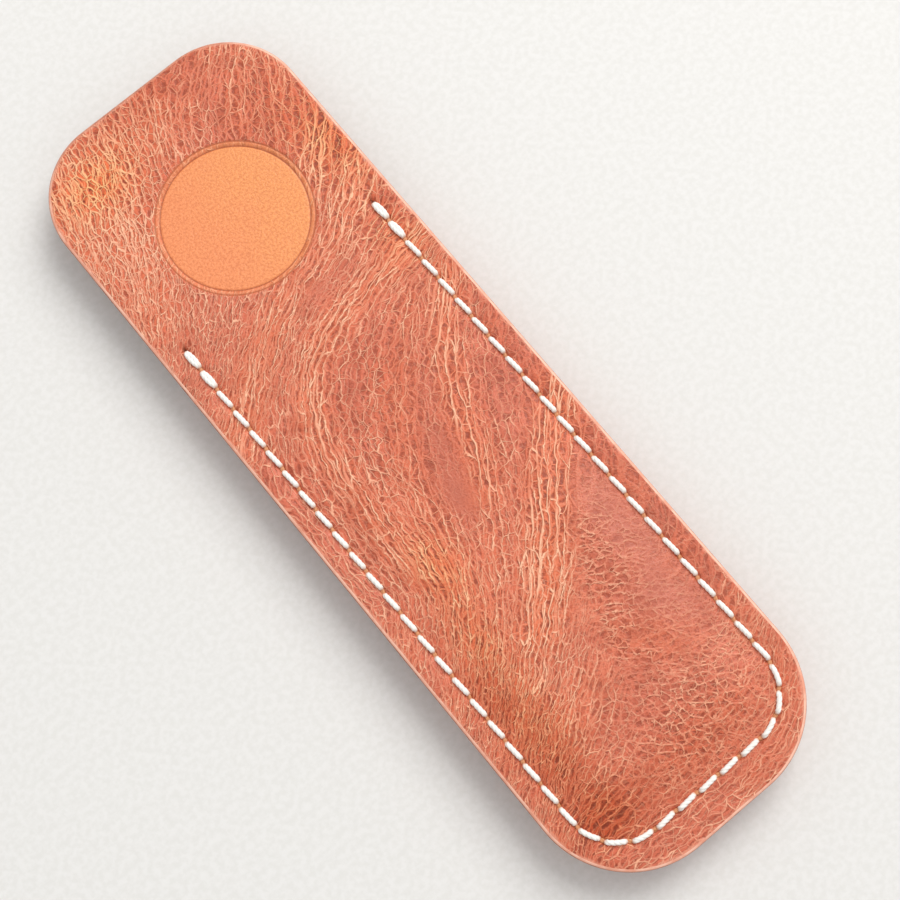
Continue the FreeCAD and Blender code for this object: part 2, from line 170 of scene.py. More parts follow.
# Where stretched leather has turned orange, and where it is browner, mostly inside the seam at the closed end;
# the browner patches on the -X side there are partly painted shade, where the swell slopes away from the lamp
WARM_PATCHES = [
    (-14.5, 70.5, 8, 5.5, 1), (23, 51, 6, 9, 0.8), (19.5, 30, 4, 6, 0.5),
    (-11, -19, 4, 7, 0.7), (-13.8, -33, 4, 7, 0.5), (-15, -48, 5, 8, 0.4),
]
DEEP_PATCHES = [
    (-16, -67.5, 6, 5, 1), (-17, -55, 5, 10, 0.75), (-18, -41, 3.5, 6, 0.6),
    (2, -68, 14, 7, 0.3), (18, 62, 7, 9, 0.3), (-3, 78, 12, 4, 0.3),
]

# Where thin veins run out sideways from the main bundle, at one angle, and where they close into round cells
SWEPT_PATCHES = [
    (15, -32, 6, 8, 1), (9.5, -39, 6, 8, 1), (6, -48, 6, 7, 0.9),
    (13, -50, 6, 5, 0.7),
]
ROUND_PATCHES = [(5, -63.5, 13, 9, 1.2), (16.5, -58, 5, 6, 0.5)]

# Cells of the vein networks: width, length, and a shift that keeps one network from repeating another
LONG_CELLS = (1.15, 7.5, 0.0)
SMALL_CELLS = (1.1, 2.7, 31.7)
HAIR_CELLS = (0.85, 1.8, 67.3)
SWEPT_CELLS = (1.45, 5.5, 11.3)
SWEPT_TURN = -31.0
ROUND_CELL = 1.45
FOLD_GAP = 1.25


# Smooth steps and graded spacing

def ease(low, high, value):
    """Smooth step 3t^2 - 2t^3, where t runs from 0 at low to 1 at high and low may be the larger."""
    t = np.clip((value - low) / (high - low), 0, 1)
    return t * t * (3 - 2 * t)


def patches(spots, x, y):
    """Sum of soft ellipses: each is depth * exp(-(dx/half_x)^2 - (dy/half_y)^2)."""
    total = np.zeros_like(x)
    for centre_x, centre_y, half_x, half_y, depth in spots:
        total += depth * np.exp(-((x - centre_x) / half_x) ** 2 - ((y - centre_y) / half_y) ** 2)
    return total


def graded(low, high, bands):
    """Values from low to high, a column step apart, or a fine step apart inside the bands.

    The spacing's inverse is summed up along the way, and equal shares of that sum are read back."""
    along = np.linspace(low, high, 4001)
    density = np.full_like(along, 1 / COLUMN_STEP)
    for start, end in bands:
        density[(along >= start) & (along <= end)] = 1 / FINE_STEP
    total = np.concatenate([[0], np.cumsum((density[1:] + density[:-1]) / 2 * np.diff(along))])
    count = 2 * int(round(total[-1] / 2))
    return np.interp(np.linspace(0, total[-1], count + 1), total, along)


# Seam line and its holes

def seam_point(distance):
    """Points and headings on the U, counted from the lip on the +X side: straight, quarter circle, straight,
    quarter circle, straight. On an arc the turn is the distance over the radius."""
    first = np.clip(distance - SEAM_SIDE, 0, SEAM_ARC) / SEAM_CORNER
    second = np.clip(distance - SEAM_SIDE - SEAM_ARC - SEAM_RUN, 0, SEAM_ARC) / SEAM_CORNER
    turn = first + second
    down = np.minimum(distance, SEAM_SIDE)
    across = np.clip(distance - SEAM_SIDE - SEAM_ARC, 0, SEAM_RUN)
    up = np.maximum(distance - SEAM_SIDE - 2 * SEAM_ARC - SEAM_RUN, 0)
    x = SEAM_HALF - SEAM_CORNER * (1 - np.cos(first)) - across - SEAM_CORNER * np.sin(second)
    y = LIP_Y - down - SEAM_CORNER * np.sin(first) + SEAM_CORNER * (1 - np.cos(second)) + up
    return np.stack([x, y], -1), np.stack([-np.sin(turn), -np.cos(turn)], -1)


HOLE_SPOTS, HOLE_HEADINGS = seam_point((np.arange(STITCHES_INSIDE + 2) - 0.5) * PITCH)


def from_corners(past_side, past_end):
    """Distance past a corner's two straight lines: round outside them both, and the nearer one inside."""
    outside = np.hypot(np.maximum(past_side, 0), np.maximum(past_end, 0))
    return outside + np.minimum(np.maximum(past_side, past_end), 0)


def seam_distance(x, y):
    """Distance from the U line, less than zero inside it: a box with two rounded corners, open to the tab."""
    return from_corners(np.abs(x) - (SEAM_HALF - SEAM_CORNER), SEAM_END_Y + SEAM_CORNER - y) - SEAM_CORNER


def rim_distance(x, y, low_y, high_y, low_corner, high_corner):
    """Distance inwards from a panel's outline: from the straight sides, or from the arc inside a corner."""
    corner = np.where(y > (low_y + high_y) / 2, high_corner, low_corner)
    past_end = np.maximum(y - (high_y - corner), low_y + corner - y)
    return corner - from_corners(np.abs(x) - (HALF_WIDTH - corner), past_end)


def hole_closeness(x, y):
    """Oval hill at every hole, 1 in its middle: exp(-(along/length)^2 - (across/width)^2)."""
    away = np.stack([x, y], -1)[..., None, :] - HOLE_SPOTS
    along = (away * HOLE_HEADINGS).sum(-1) / HOLE_LENGTH
    across = (away[..., 0] * HOLE_HEADINGS[:, 1] - away[..., 1] * HOLE_HEADINGS[:, 0]) / HOLE_WIDTH
    return np.exp(-along ** 2 - across ** 2).max(-1)


def seam_pull(x, y):
    """How far the thread pulls the leather in: a valley along the seam and an oval dimple at every hole.

    Valley: depth * exp(-(distance/width)^2), gone beyond the first hole."""
    fade = ease(LIP_Y + 4.5, LIP_Y + 1.5, y)
    valley = VALLEY_DEPTH * np.exp(-(seam_distance(x, y) / VALLEY_WIDTH) ** 2) * fade
    return valley + HOLE_DEPTH * hole_closeness(x, y)


# Grain of the hide: two coordinates in millimetres, across and along the creases

GRAIN_STEP = 0.65
NET_MARGIN = 1.0
GRAIN_TURN = 20.0
GUIDE_STEP = 2.0
GUIDE_REACH = 1.4
FAR_WEIGHT = 0.001
LEAST_HOLD = 0.15
FIT_ROUNDS = 60


def crease_samples():
    """Five rows for points at even steps along each crease: x, y, direction, strength and spread."""
    rows = []
    for strength, spread, points in CREASES:
        points = np.array(points, float)
        lengths = np.concatenate([[0], np.cumsum(np.hypot(*np.diff(points, axis=0).T))])
        at = np.arange(1, lengths[-1], GUIDE_STEP)
        before, here, after = (np.stack([np.interp(place, lengths, side) for side in points.T])
                               for place in (at - GUIDE_STEP, at, at + GUIDE_STEP))
        angle = np.arctan2(*(after - before)[::-1])
        rows.append([*here, angle, np.full_like(angle, strength), np.full_like(angle, spread)])
    return np.concatenate(rows, 1)


def cosine_waves(count):
    """Cosine waves on a row of points, one wave to a line, and the squared step of each wave."""
    number = np.arange(count)
    waves = np.cos(np.pi * np.outer(number, number + 0.5) / count) * math.sqrt(2 / count)
    waves[0] /= math.sqrt(2)
    return waves, 2 - 2 * np.cos(np.pi * number / count)


def net_slopes(field):
    """Slopes of a field in the middle of every square of the net, from its four corners."""
    slope_x = field[:-1, 1:] + field[1:, 1:] - field[:-1, :-1] - field[1:, :-1]
    slope_y = field[1:, :-1] + field[1:, 1:] - field[:-1, :-1] - field[:-1, 1:]
    return slope_x / (2 * GRAIN_STEP), slope_y / (2 * GRAIN_STEP)


def gathered(slope_x, slope_y):
    """The slopes of the squares summed up again at the points of the net, each with its sign."""
    field = np.zeros(np.add(slope_x.shape, 1))
    field[1:, 1:] += slope_x + slope_y
    field[:-1, 1:] += slope_x - slope_y
    field[1:, :-1] += slope_y - slope_x
    field[:-1, :-1] -= slope_x + slope_y
    return field / (2 * GRAIN_STEP)


def fitted_field(rise_x, rise_y, hold, pace):
    """Field that rises along (rise_x, rise_y) by one to a millimetre, as nearly as that can be.

    It makes hold * (slope sideways)^2 + pace * (slope along - 1)^2 as small as it can, summed over the net, by
    conjugate gradients. Each round starts from the even answer, which is exact for cosine waves."""
    shape = np.add(rise_x.shape, 1)
    waves_y, squares_y = cosine_waves(shape[0])
    waves_x, squares_x = cosine_waves(shape[1])
    squares = squares_y[:, None] + squares_x
    squares[0, 0] = 1

    def evened(load):
        return waves_y.T @ (waves_y @ load @ waves_x.T / squares) @ waves_x

    def weighed(field):
        slope_x, slope_y = net_slopes(field)
        ahead = pace * (slope_x * rise_x + slope_y * rise_y)
        aside = hold * (slope_x * rise_y - slope_y * rise_x)
        return gathered(ahead * rise_x + aside * rise_y, ahead * rise_y - aside * rise_x)

    field = np.zeros(shape)
    left = gathered(pace * rise_x, pace * rise_y)
    move = even = evened(left)
    for _ in range(FIT_ROUNDS):
        pull = weighed(move)
        before = (left * even).sum()
        share = before / (move * pull).sum()
        field = field + share * move
        left = left - share * pull
        even = evened(left)
        move = even + (left * even).sum() / before * move
    return field


def grain_field():
    """Grain on a square net over the back panel: distances across and along the creases, their strength, and
    the slope that the first of these came to have.

    The direction at a point is the average of the crease directions near it, each weighted by
    exp(-(distance/reach)^2), taken with doubled angles so that a line and its reverse count as one."""
    net_x = np.arange(-HALF_WIDTH - NET_MARGIN, HALF_WIDTH + NET_MARGIN + 0.01, GRAIN_STEP)
    net_y = np.arange(END_Y - NET_MARGIN, TAB_Y + NET_MARGIN + 0.01, GRAIN_STEP)
    guide_x, guide_y, angle, strength, spread = crease_samples()

    def from_guides(x, y):
        squared = (x[..., None] - guide_x) ** 2 + (y[..., None] - guide_y) ** 2
        weight = np.exp(-squared / (GUIDE_REACH * spread) ** 2) + FAR_WEIGHT / (squared + 1)
        rest = 2 * math.radians(GRAIN_TURN)
        turn_x = (weight * np.cos(2 * angle - rest)).sum(-1)
        turn_y = (weight * np.sin(2 * angle - rest)).sum(-1)
        heading = (np.arctan2(turn_y, turn_x) + rest) / 2
        return heading, (strength * np.exp(-squared / spread ** 2)).max(-1)

    heading, force = from_guides(*np.meshgrid(net_x[:-1] + GRAIN_STEP / 2, net_y[:-1] + GRAIN_STEP / 2))
    crease = from_guides(*np.meshgrid(net_x, net_y))[1]
    hold = LEAST_HOLD + force
    pace = hold * (0.15 + 0.4 * ease(0.3, 0.0, force))
    across = fitted_field(-np.sin(heading), np.cos(heading), hold, pace)
    along = fitted_field(np.cos(heading), np.sin(heading), 0.3 * hold, hold)
    slope = np.clip(np.hypot(*np.gradient(across, GRAIN_STEP)), 0.4, 1.6)
    return net_x, net_y, {"across": across, "along": along, "crease": np.clip(crease, 0, 1), "slope": slope}


def read_net(net_x, net_y, values, x, y):
    """Value between the points of a net, mixed from the four corners round each place."""
    place_x = np.clip((x - net_x[0]) / GRAIN_STEP, 0, len(net_x) - 1.001)
    place_y = np.clip((y - net_y[0]) / GRAIN_STEP, 0, len(net_y) - 1.001)
    column = place_x.astype(int)
    row = place_y.astype(int)
    right = place_x - column
    up = place_y - row
    low = values[row, column] * (1 - right) + values[row, column + 1] * right
    high = values[row + 1, column] * (1 - right) + values[row + 1, column + 1] * right
    return low * (1 - up) + high * up


def grain_at(grain, x, y):
    """All that the grain's finish needs at each point: its coordinates, creases and patches."""
    net_x, net_y, fields = grain
    found = {name: read_net(net_x, net_y, values, x, y) for name, values in fields.items()}
    found["calm"] = np.clip(patches(CALM_PATCHES, x, y), -1, 1)
    named = {"warm": WARM_PATCHES, "deep": DEEP_PATCHES, "swept": SWEPT_PATCHES, "round": ROUND_PATCHES}
    for name, spots in named.items():
        found[name] = np.clip(patches(spots, x, y), 0, 1)
    return found


# Panels: two faces on one net of rows and columns, joined by rings round the edge

class PanelNet:
    """Rows and columns of a panel with two rounded corners at each end.

    Inset by i from the outline, a row lies at pivot + (radius - i) * rise and is half as wide as
    HALF_WIDTH - radius + (radius - i) * reach. On a corner rise and reach are a cosine and a sine, on the
    straight sides they are 0 and 1. A column is a share of that width."""

    def __init__(self, outline, middle_rows, columns, corner_steps, bend=None):
        low_y, high_y, low_corner, high_corner = outline
        low = np.linspace(0, math.pi / 2, corner_steps + 1)
        high = low[::-1]
        middle = middle_rows[1:-1]
        flat = np.zeros_like(middle)
        self.pivot = np.concatenate([low * 0 + low_y + low_corner, middle, high * 0 + high_y - high_corner])
        self.radius = np.concatenate([low * 0 + low_corner, flat, high * 0 + high_corner])
        self.rise = np.concatenate([-np.cos(low), flat, np.cos(high)])
        self.reach = np.concatenate([np.sin(low), flat + 1, np.sin(high)])
        self.columns = columns
        self.bend = bend

    def face(self, inset):
        """Coordinates of the whole net, drawn in from the outline by an inset."""
        row_y = self.pivot + (self.radius - inset) * self.rise
        row_half = HALF_WIDTH - self.radius + (self.radius - inset) * self.reach
        x = row_half[:, None] * self.columns
        y = np.repeat(row_y[:, None], len(self.columns), 1)
        return self.bend(x, y) if self.bend else (x, y)

    def rim(self):
        """Indices of the net's border, once round against the clock."""
        rows, columns = len(self.pivot), len(self.columns)
        index = np.arange(rows * columns).reshape(rows, columns)
        return np.concatenate([index[0, :-1], index[:-1, -1], index[-1, :0:-1], index[:0:-1, 0]])


def net_quads(rows, columns, start):
    """Four-sided faces of a net, against the clock from above."""
    index = start + np.arange(rows * columns).reshape(rows, columns)
    corners = [index[:-1, :-1], index[:-1, 1:], index[1:, 1:], index[1:, :-1]]
    return np.stack([corner.ravel() for corner in corners], -1)


def ring_quads(upper, lower):
    """Four-sided faces between two rings of the same count, facing outwards."""
    return np.stack([upper, lower, np.roll(lower, -1), np.roll(upper, -1)], -1)


def rim_profile(top_radius, bottom_radius, height):
    """Inset and drop of each ring round a cut edge: a quarter circle, a bulging wall and a second quarter."""
    angle = np.radians(ROUND_ANGLES)
    top = np.stack([top_radius * (1 - np.sin(angle)), top_radius * (1 - np.cos(angle))], -1)
    bottom = np.stack([bottom_radius * (1 - np.sin(angle)), height - bottom_radius * (1 - np.cos(angle))], -1)
    return np.concatenate([top, [[-WALL_BULGE, height * BULGE_DEPTH]], bottom[::-1]])


def panel_mesh(name, net, top_z, bottom_z, top_radius, bottom_radius, height):
    """Closed panel: the upper face z = top_z(x, y), the lower face z = bottom_z(x, y), and the rings between.

    A ring lies at its own share of the way from the upper face to the lower one, which is kept as edge_depth.
    The faces are of three kinds: 0 above, 1 round the edge and 2 below."""
    top_x, top_y = net.face(top_radius)
    low_x, low_y = net.face(bottom_radius)
    border = net.rim()
    spots = [np.stack([top_x, top_y, top_z(top_x, top_y)], -1).reshape(-1, 3)]
    faces = [net_quads(*top_x.shape, 0)]
    depths = [np.zeros(top_x.size)]
    upper = border
    start = top_x.size
    for inset, drop in rim_profile(top_radius, bottom_radius, height):
        ring_x, ring_y = (side.ravel()[border] for side in net.face(inset))
        ring_top, ring_low = top_z(ring_x, ring_y), bottom_z(ring_x, ring_y)
        spots.append(np.stack([ring_x, ring_y, ring_top + drop / height * (ring_low - ring_top)], -1))
        lower = start + np.arange(len(border))
        faces.append(ring_quads(upper, lower))
        depths.append(np.full(len(border), drop / height))
        upper = lower
        start += len(border)
    spots.append(np.stack([low_x, low_y, bottom_z(low_x, low_y)], -1).reshape(-1, 3))
    faces += [ring_quads(upper, start + border), net_quads(*low_x.shape, start)[:, ::-1]]
    depths.append(np.ones(low_x.size))
    kinds = [np.full(len(group), 1) for group in faces]
    kinds[0][:] = 0
    kinds[-1][:] = 2
    piece = mesh_piece(name, np.concatenate(spots), np.concatenate(faces), np.concatenate(kinds))
    give(piece, "edge_depth", np.concatenate(depths))
    return piece


def mesh_piece(name, spots, faces, kinds=None):
    """Mesh object from points in millimetres and four-sided faces, with smooth shading."""
    mesh = bpy.data.meshes.new(name)
    mesh.from_pydata((spots * MM).tolist(), [], faces.tolist())
    mesh.polygons.foreach_set("use_smooth", np.ones(len(faces), bool))
    if kinds is not None:
        mesh.polygons.foreach_set("material_index", kinds.astype(np.int32))
    piece = bpy.data.objects.new(name, mesh)
    bpy.context.scene.collection.objects.link(piece)
    return piece


def give(piece, name, values):
    """Store one number per point on a piece, for its material to read."""
    layer = piece.data.attributes.new(name, "FLOAT", "POINT")
    layer.data.foreach_set("value", values.astype(np.float32))


def give_hide(piece, outline, grain, side=1, shift=0):
    """Store what the leather's finishes read: the way in from the rim, the holes, and the grain.

    A side of -1 takes the grain from a place turned end for end, moved along by a shift."""
    flat = np.zeros(len(piece.data.vertices) * 3)
    piece.data.vertices.foreach_get("co", flat)
    x, y = flat.reshape(-1, 3)[:, :2].T / MM
    give(piece, "rim", rim_distance(x, y, *outline))
    give(piece, "hole", hole_closeness(x, y))
    for name, values in grain_at(grain, side * x, side * y - shift).items():
        give(piece, name, values)


def seam_rows(limit):
    """Rows from the end of the corners on, the same number to every stitch, up to a limit."""
    rows = np.arange(LIP_Y + PITCH / 2, END_Y + END_CORNER + LOW_ROW_GAP, -PITCH / ROWS_TO_STITCH)[::-1]
    return np.concatenate([[END_Y + END_CORNER], rows[rows < limit - HIGH_ROW_GAP]])


def seam_columns(low, high):
    """Columns from low to high, fine along the seams."""
    bands = [(side * SEAM_HALF - FINE_HALF, side * SEAM_HALF + FINE_HALF) for side in (-1, 1)]
    return graded(low, high, bands)


def block_steps(centre):
    """Even rows or columns of the block round the roundel."""
    return np.linspace(centre - BLOCK_HALF, centre + BLOCK_HALF, BLOCK_STEPS + 1)


def back_columns(half):
    """Columns of the back panel as shares of its half width: even ones past the roundel, fine at the seams."""
    block = block_steps(ROUNDEL_X)
    left, right = seam_columns(-half, block[0]), seam_columns(block[-1], half)
    return np.concatenate([left[:-1], block, right[1:]]) / half


def soft_wave(x, y):
    """Slow unevenness of lying leather: the mean of three long sine waves in different directions."""
    return WAVE * sum(np.sin(turn_x * x + turn_y * y + start) for turn_x, turn_y, start in WAVES) / len(WAVES)


def swell_at(x, y):
    """Rise of the back panel over the pocket: full well inside the seam, gone at the mouth."""
    inside = ease(0.6, SWELL_REACH, -seam_distance(x, y))
    return SWELL * inside * ease(SWELL_FROM_Y, SWELL_FULL_Y, y)


def roundel_press(x, y):
    """Depth of the pressed disc and of the two fine rings at its rim: a soft step and two narrow grooves."""
    away = np.hypot(x - ROUNDEL_X, y - ROUNDEL_Y)
    disc = ROUNDEL_DEPTH * ease(ROUNDEL_RADIUS + 0.2, DISC_RADIUS - 0.2, away)
    rings = [np.exp(-((away - radius) / RING_WIDTH) ** 2) for radius in (ROUNDEL_RADIUS, DISC_RADIUS)]
    return disc + RING_DEPTH * sum(rings)


def round_block(x, y):
    """Net round the roundel: squares about its centre become circles, which lie close together at its rim.

    With u and v in half sides of the block and m the larger of their sizes, the radius is read from m, and the
    angle is the smaller over the larger, times an eighth of a turn. Near the block's edge the two mix."""
    u = (x - ROUNDEL_X) / BLOCK_HALF
    v = (y - ROUNDEL_Y) / BLOCK_HALF
    wide = np.abs(u) >= np.abs(v)
    large = np.where(wide, u, v)
    small = np.where(wide, v, u)
    m = np.abs(large)
    turn = math.pi / 4 * small / np.where(m > 0, large, 1)
    rim = [0, DISC_RADIUS - 0.5, ROUNDEL_RADIUS + 0.4, BLOCK_HALF]
    radius = np.interp(m, [0, 0.3, 0.8, 1], rim) * np.sign(large)
    square = ease(0.8, 1.0, m)
    ahead = radius * (np.cos(turn) + square * (1 - np.cos(turn)))
    beside = radius * (np.sin(turn) + square * (turn * 4 / math.pi - np.sin(turn)))
    round_x = ROUNDEL_X + np.where(wide, ahead, beside)
    round_y = ROUNDEL_Y + np.where(wide, beside, ahead)
    return np.where(m < 1, round_x, x), np.where(m < 1, round_y, y)


def inner_edge(x, y):
    """Share of the soft forms at a point: none at the outline, all of them 3.5 mm inside it."""
    side = HALF_WIDTH - np.abs(x)
    end = np.minimum(y - END_Y, TAB_Y - y)
    return ease(0.4, 3.5, np.minimum(side, end))


def back_top(x, y):
    """Grain side of the back panel: flat, plus the swell and slow waves, less seam and roundel."""
    soft = swell_at(x, y) + soft_wave(x, y) * ease(0, 4, -seam_distance(x, y) + 4)
    return BACK_FACE + soft * inner_edge(x, y) - seam_pull(x, y) - roundel_press(x, y)


def back_bottom(x, y):
    """Flesh side of the back panel: flat on the flange, and lifted with the swell over the pocket."""
    return SEAM_PLANE + swell_at(x, y)


def make_back_panel(grain):
    """Back panel with its finish in three kinds: grain, cut edge and flesh side."""
    block = block_steps(ROUNDEL_Y)
    rows = np.concatenate([seam_rows(block[0]), block, [TAB_Y - TAB_CORNER]])
    columns = back_columns(HALF_WIDTH - GRAIN_ROUND)
    net = PanelNet(BACK_OUTLINE, rows, columns, corner_steps=52, bend=round_block)
    piece = panel_mesh("back_panel_leather", net, back_top, back_bottom, GRAIN_ROUND, FLESH_ROUND,
                       BACK_FACE - SEAM_PLANE)
    give_hide(piece, BACK_OUTLINE, grain)
    return piece


# Pocket panel: a flange round the seam and a trough whose section is two arcs, equal ones on the grain side

FORM_HALF = SEAM_HALF - FORM_INSET
BOWL_Y = SEAM_END_Y + FORM_INSET + FORM_HALF


def trough_drop(x, y, bend):
    """Drop of the formed leather below the flange. Over the distance d in from the form line it follows one
    arc down and one arc level again: r - sqrt(r^2 - d^2), and the same turned round from the far end."""
    middle_y = np.minimum(y - BOWL_Y, 0)
    inward = np.clip(FORM_HALF - np.hypot(x, middle_y), 0, None)
    first, second = FORM_RADIUS + bend, FORM_RADIUS - bend
    reach = math.sqrt(POCKET_ROOM * (2 * (first + second) - POCKET_ROOM))
    change = reach * first / (first + second)
    early = first - np.sqrt(np.clip(first ** 2 - np.minimum(inward, change) ** 2, 0, None))
    left = np.clip(reach - inward, 0, reach - change)
    late = POCKET_ROOM - (second - np.sqrt(np.clip(second ** 2 - left ** 2, 0, None)))
    return np.where(inward < change, early, late)


def pocket_top(x, y):
    """Flesh side of the pocket panel, inside the pocket."""
    return SEAM_PLANE - trough_drop(x, y, POCKET_WALL)


def pocket_bottom(x, y):
    """Grain side of the pocket panel, towards the table, pulled in along the seam."""
    return FLANGE_BOTTOM - trough_drop(x, y, 0.0) + seam_pull(x, y) * inner_edge(x, y)


def make_pocket_panel(grain):
    """Pocket panel with its flesh side up, its cut edge, and the grain side down, cut from another place."""
    rows = np.append(seam_rows(LIP_Y - LIP_CORNER), LIP_Y - LIP_CORNER)
    net = PanelNet(POCKET_OUTLINE, rows, seam_columns(-HALF_WIDTH, HALF_WIDTH) / HALF_WIDTH, corner_steps=44)
    piece = panel_mesh("pocket_panel_leather", net, pocket_top, pocket_bottom, FLESH_ROUND, GRAIN_ROUND,
                       SEAM_PLANE - FLANGE_BOTTOM)
    give_hide(piece, POCKET_OUTLINE, grain, side=-1, shift=20)
    return piece


# Threads: three plies laid round one route that arches over every stitch and turns back in every hole

PLIES = 3
PLY_SIDES = 8
PLY_RADIUS = 0.34
PLY_OFFSET = 0.13
PLY_FLATNESS = 0.9
LAY_LENGTH = 2.6
LEG_GAP = 0.44
STITCH_LEAN = 0.13
STITCH_RISE = 0.30
TACK_STITCHES = 2
TACK_GAP = 0.26
TACK_LEG = 0.4
ARCH_STEPS = 26
LOOP_STEPS = 8
LOOP_BOW = 0.25
LOOP_SUNK = 2.0
LOCK_Z = SEAM_PLANE + 0.59
LOCK_CROSSING = 0.2


def arch_route(first, gaps, side, face, lock):
    """Route over one stitch for each gap, from a hole number on, on one side of the leather.

    Along a stitch t runs from -1 to 1: the height over the leather is 1 - |t|^8, the thread leans across the
    seam with t and bows out by its gap times 1 - t^2. In the hole it drops to the lock level and comes back.
    The last of the four rows is how far the thread is sunk below the top of its arch."""
    t = np.sin(np.linspace(-math.pi / 2, math.pi / 2, ARCH_STEPS))
    loop_t = np.linspace(-1, 1, LOOP_STEPS + 2)[1:-1]
    numbers = first + np.arange(len(gaps))[:, None]
    legs = np.where(gaps == 0, LEG_GAP, TACK_LEG)[:, None]
    next_legs = np.concatenate([legs[1:], legs[-1:]])
    arch_s = (numbers - 0.5) * PITCH + legs + (t + 1) / 2 * (PITCH - 2 * legs)
    loop_s = (numbers + 0.5) * PITCH + loop_t * np.where(loop_t < 0, legs, next_legs)
    top = face(arch_s) + STITCH_RISE * side
    arch_z = top - np.abs(t) ** 8 * (top - lock)
    arch_n = STITCH_LEAN * t + gaps[:, None] * (1 - t ** 2)

    def joined(arch, loop):
        return np.concatenate([arch, np.broadcast_to(loop, loop_s.shape)], 1).ravel()[:-LOOP_STEPS]

    return (joined(arch_s, loop_s), joined(arch_z, lock - side * LOOP_BOW * (1 - loop_t ** 2)),
            joined(arch_n, -STITCH_LEAN * loop_t), joined(side * (top - arch_z), LOOP_SUNK))


def laid_plies(s, z, n):
    """Plies along a route: circles whose centres go round the route once in every lay length.

    The frame at each point is the left normal of the seam and the normal of the route in its upright plane."""
    spot, heading = seam_point(s)
    left = np.stack([-heading[:, 1], heading[:, 0], np.zeros(len(s))], -1)
    middle = np.concatenate([spot + left[:, :2] * n[:, None], z[:, None]], -1)
    ahead = np.gradient(middle, axis=0)
    length = np.concatenate([[0], np.cumsum(np.linalg.norm(np.diff(middle, axis=0), axis=1))])
    ahead -= left * (ahead * left).sum(-1, keepdims=True)
    ahead /= np.linalg.norm(ahead, axis=1, keepdims=True)
    over = np.cross(ahead, left)
    turn = (2 * math.pi * length[:, None] / LAY_LENGTH + 2 * math.pi * np.arange(PLIES) / PLIES)[..., None]
    around = 2 * math.pi * np.arange(PLY_SIDES) / PLY_SIDES
    across = PLY_OFFSET * np.cos(turn) + PLY_RADIUS * np.cos(around)
    upward = PLY_FLATNESS * (PLY_OFFSET * np.sin(turn) + PLY_RADIUS * np.sin(around))
    aside = left[:, None, None] * across[..., None]
    return middle[:, None, None] + aside + over[:, None, None] * upward[..., None], length


def thread_piece(name, routes):
    """One mesh of all plies of all routes, with the depth, the distance along the thread and the way round the
    ply stored on it. Each ply is a tube, closed at its ends by three four-sided faces."""
    all_spots, all_faces, all_marks = [], [], []
    start = 0
    for s, z, n, sunk in routes:
        spots, length = laid_plies(s, z, n)
        index = start + np.arange(spots[..., 0].size).reshape(spots.shape[:3])
        here, there = index[:-1], index[1:]
        quads = [here, np.roll(here, -1, 2), np.roll(there, -1, 2), there]
        all_faces.append(np.stack([corner.ravel() for corner in quads], -1))
        for cap in (index[0][:, ::-1], index[-1]):
            all_faces += [np.concatenate([cap[:, [0, 1, 2, 3]], cap[:, [0, 3, 4, 7]], cap[:, [4, 5, 6, 7]]])]
        all_spots.append(spots.reshape(-1, 3))
        around = np.arange(PLY_SIDES) / PLY_SIDES
        marks = [ease(0.05, 0.75, sunk)[:, None, None], length[:, None, None], around]
        all_marks.append([np.broadcast_to(mark, index.shape).ravel() for mark in marks])
        start += index.size
    piece = mesh_piece(name, np.concatenate(all_spots), np.concatenate(all_faces))
    for mark, values in zip(("sunk", "thread_length", "ply_round"), np.concatenate(all_marks, 1)):
        give(piece, mark, values)
    return piece


def tacked_routes(side, face, lock):
    """Whole seam, with its first and last stitches sewn twice side by side."""
    count = STITCHES_INSIDE + 1
    twice = np.full(TACK_STITCHES, TACK_GAP)
    gaps = np.zeros(count)
    gaps[:TACK_STITCHES] = -twice
    gaps[-TACK_STITCHES:] = -twice
    runs = ((0, gaps), (0, twice), (count - TACK_STITCHES, twice))
    return [arch_route(first, run, side, face, lock) for first, run in runs]


def make_needle_thread():
    """Thread on the grain side: it lies in the seam's valley."""
    def face(s):
        return np.full_like(s, BACK_FACE - VALLEY_DEPTH)
    return thread_piece("needle_thread_plies", tacked_routes(1, face, LOCK_Z - LOCK_CROSSING))


def make_bobbin_thread():
    """Thread on the pocket side: it lies in the flange's valley, and its end stitches climb over the lip."""
    def face(s):
        climb = ease(LIP_Y + 0.2, LIP_Y + 1.2, seam_point(s)[0][:, :, 1])
        return FLANGE_BOTTOM + VALLEY_DEPTH + (POCKET_WALL - VALLEY_DEPTH) * climb
    return thread_piece("bobbin_thread_plies", tacked_routes(-1, face, LOCK_Z + LOCK_CROSSING))


# Material nodes

def srgb(red, green, blue):
    """Colour as a screen shows it, 0 to 255, turned into the linear light that shaders use."""
    share = np.array([red, green, blue]) / 255
    linear = np.where(share <= 0.04045, share / 12.92, ((share + 0.055) / 1.055) ** 2.4)
    return (*linear.tolist(), 1.0)


